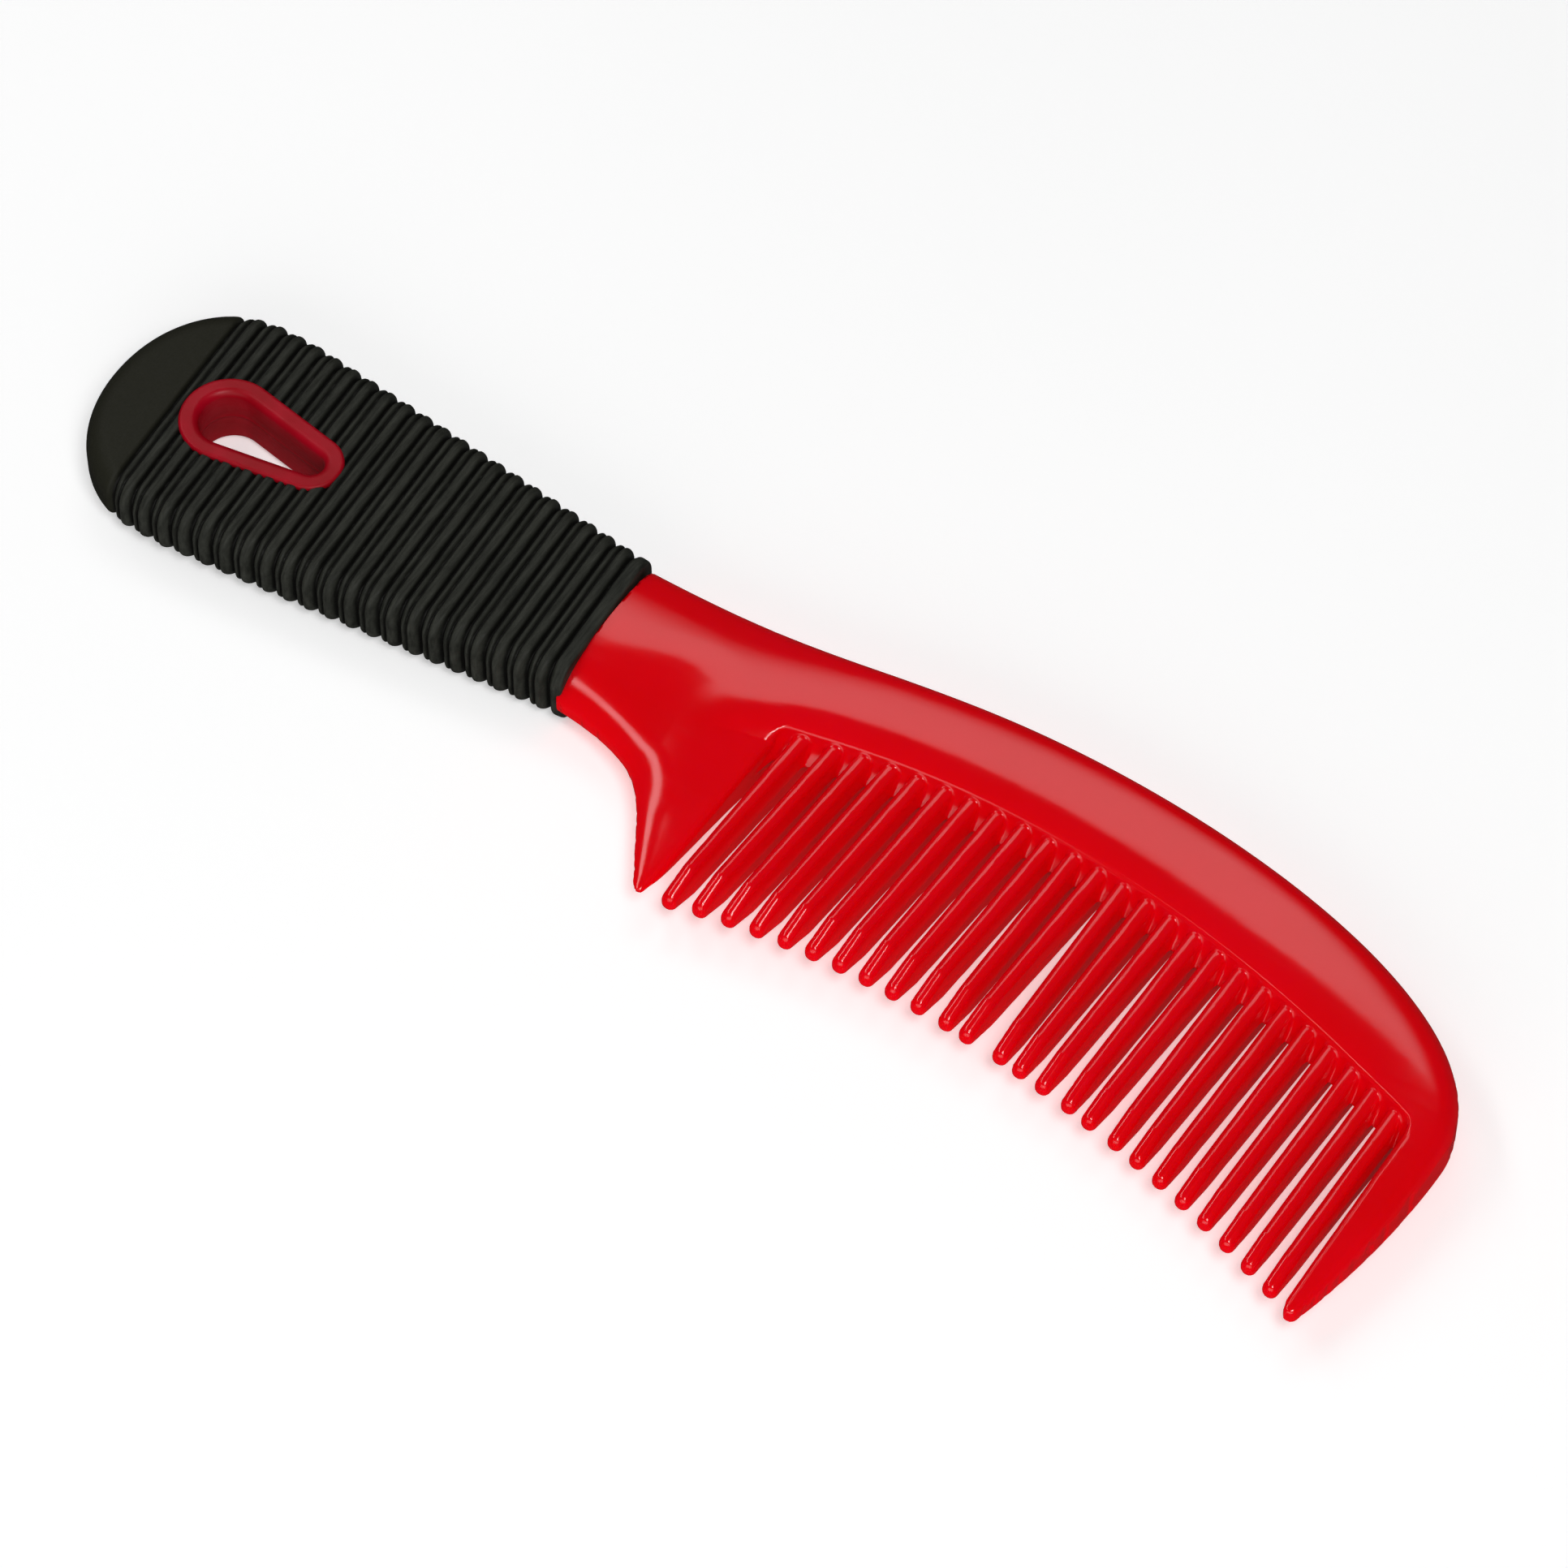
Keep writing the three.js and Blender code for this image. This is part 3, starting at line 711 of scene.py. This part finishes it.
def eyelet_plastic():
    n = Nodes("eyelet_plastic")
    clouds = n.noise(6, detail=4)
    colour = n.ramp(clouds, [(0.3, (0.34, 0.0, 0.006)), (0.7, (0.46, 0.001, 0.014))])
    n.link(colour, n.shader.inputs["Base Color"])
    streaks = n.noise(0.7, detail=4, stretch=(12, 12, 1))
    n.link(n.ramp(streaks, [(0.3, 0.34), (0.75, 0.5)]), n.shader.inputs["Roughness"])
    n.shader.inputs["Specular IOR Level"].default_value = 0.22
    n.link(n.bump(streaks, 0.05), n.shader.inputs["Normal"])
    return n.material


def black_rubber():
    n = Nodes("black_rubber")
    clouds = n.noise(14, detail=5)
    ribs = n.ramp(clouds, [(0.3, (0.010, 0.011, 0.008)), (0.7, (0.018, 0.019, 0.014))])
    drag = n.noise(0.5, detail=4, roughness=0.6, stretch=(1, 10, 4))
    ribs = n.blend(n.ramp(drag, [(0.3, 0.0), (0.75, 0.7)]), ribs, (0.055, 0.057, 0.046))
    # painted shade: the grooves are coloured near black by their depth
    colour = n.blend(n.attribute("groove"), ribs, (0.004, 0.004, 0.003))
    colour = n.blend(n.attribute("cap"), colour, (0.017, 0.017, 0.010))
    n.link(colour, n.shader.inputs["Base Color"])
    grain = n.noise(0.35, detail=4, roughness=0.7)
    n.link(n.ramp(grain, [(0.3, 0.48), (0.7, 0.68)]), n.shader.inputs["Roughness"])
    n.link(n.bump(drag, 0.05, normal=n.bump(grain, 0.03)), n.shader.inputs["Normal"])
    n.shader.inputs["Specular IOR Level"].default_value = 0.2
    return n.material


# ---------- pieces ----------
RED = red_plastic()
head = make_head()
head.data.materials.append(RED)
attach(head, "root")
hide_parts("neck", "spine", "heel_guard", "toe_guard", *TEETH)

grip = make_grip()
grip.data.materials.append(black_rubber())
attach(grip, "root")
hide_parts("rubber_grip")

eyelet = make_eyelet()
eyelet.data.materials.append(eyelet_plastic())
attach(eyelet, "root")
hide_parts("hang_hole_eyelet")

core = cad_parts["handle_core"]
core.data.materials.clear()
core.data.materials.append(RED)

# ---------- floor, light and camera ----------
AIM = row_point(120.5, -7, 0)
VIEW_FROM = (33.2, 55)  # azimuth and elevation of the camera
VIEW_DISTANCE = 1.0
LENS = 164.72
SENSOR = 36
FLOOR_SIZE = 8
FLOOR_GLOW = 0.4
WORLD_GLOW = 0.03


def direction(azimuth, elevation):
    """Unit vector towards a place round the comb: azimuth 0 is in front, at -Y, and 90 is at +X."""
    a, e = math.radians(azimuth), math.radians(elevation)
    return Vector((math.sin(a) * math.cos(e), -math.cos(a) * math.cos(e), math.sin(e)))


def make_floor():
    n = Nodes("pale_floor")
    colour = n.ramp(n.noise(180, detail=3), [(0.3, (0.87, 0.87, 0.87)), (0.7, (0.89, 0.89, 0.89))])
    n.link(colour, n.shader.inputs["Base Color"])
    n.shader.inputs["Roughness"].default_value = 0.8
    n.shader.inputs["Specular IOR Level"].default_value = 0.1
    n.shader.inputs["Emission Color"].default_value = (1, 1, 1, 1)
    n.shader.inputs["Emission Strength"].default_value = FLOOR_GLOW
    bpy.ops.mesh.primitive_plane_add(size=FLOOR_SIZE, location=(0, 0, CAD_LOW.z))
    floor = bpy.context.object
    floor.name = "floor"
    floor.data.materials.append(n.material)
    floor.visible_glossy = False


def softbox(name, left, right, height, brightness, fades, distance=1.0):
    """A rectangular light reaching from one direction to another as seen from the comb.

    left and right are (azimuth, elevation) pairs and height is in degrees, all measured at the comb.
    fades are how far in from the left, right, lower and upper edges the light reaches full strength.
    """
    left, right = direction(*left), direction(*right)
    towards = (left + right).normalized()
    across = (right - left).normalized()
    light = bpy.data.lights.new(name, "AREA")
    light.shape = "RECTANGLE"
    light.size = 2 * distance * math.tan(left.angle(right) / 2)
    light.size_y = 2 * distance * math.tan(math.radians(height) / 2)
    light.energy = brightness * 4 * light.size * light.size_y
    light.use_nodes = True
    tree = light.node_tree
    split = tree.nodes.new("ShaderNodeSeparateXYZ")
    tree.links.new(tree.nodes.new("ShaderNodeNewGeometry").outputs["Parametric"], split.inputs[0])
    strength = None
    for k, fade in enumerate(fades):
        ramp = tree.nodes.new("ShaderNodeMapRange")
        ramp.interpolation_type = "SMOOTHSTEP"
        edge = k % 2
        ramp.inputs["From Min"].default_value = edge
        ramp.inputs["From Max"].default_value = abs(edge - fade)
        tree.links.new(split.outputs[k // 2], ramp.inputs["Value"])
        if strength is None:
            strength = ramp.outputs[0]
            continue
        product = tree.nodes.new("ShaderNodeMath")
        product.operation = "MULTIPLY"
        tree.links.new(strength, product.inputs[0])
        tree.links.new(ramp.outputs[0], product.inputs[1])
        strength = product.outputs[0]
    tree.links.new(strength, tree.nodes["Emission"].inputs["Strength"])
    lamp = bpy.data.objects.new(name, light)
    lamp.location = AIM + towards * distance
    lamp.rotation_mode = "QUATERNION"
    turn = Matrix((across, towards.cross(across), towards)).transposed()
    lamp.rotation_quaternion = turn.to_quaternion()
    bpy.context.scene.collection.objects.link(lamp)


def make_world(strength):
    world = bpy.data.worlds.new("studio")
    world.use_nodes = True
    world.node_tree.nodes["Background"].inputs["Color"].default_value = (1, 1, 1, 1)
    world.node_tree.nodes["Background"].inputs["Strength"].default_value = strength
    bpy.context.scene.world = world


def make_camera():
    camera = bpy.data.cameras.new("camera")
    camera.sensor_width = SENSOR
    camera.lens = LENS
    camera.clip_end = 20
    holder = bpy.data.objects.new("camera", camera)
    back = direction(*VIEW_FROM)
    holder.location = AIM + back * VIEW_DISTANCE
    holder.rotation_mode = "QUATERNION"
    holder.rotation_quaternion = (-back).to_track_quat("-Z", "Y")
    bpy.context.scene.collection.objects.link(holder)
    bpy.context.scene.camera = holder


make_floor()
make_world(WORLD_GLOW)
softbox("back_softbox", (243, 47), (183, 47), height=26, brightness=1.4, fades=(0.2, 0.2, 0.1, 0.5))
softbox("left_strip", (-34, 55), (-117, 30), height=13, brightness=3.0, fades=(0.2, 0.2, 0.3, 0.3))
softbox("front_fill", (-25, 20), (60, 20), height=40, brightness=1.3, fades=(0.3,) * 4, distance=1.4)
softbox("key_light", (30, 58), (75, 58), height=30, brightness=9.0, fades=(0.3,) * 4, distance=1.4)
make_camera()
bpy.context.scene.view_settings.view_transform = "Standard"
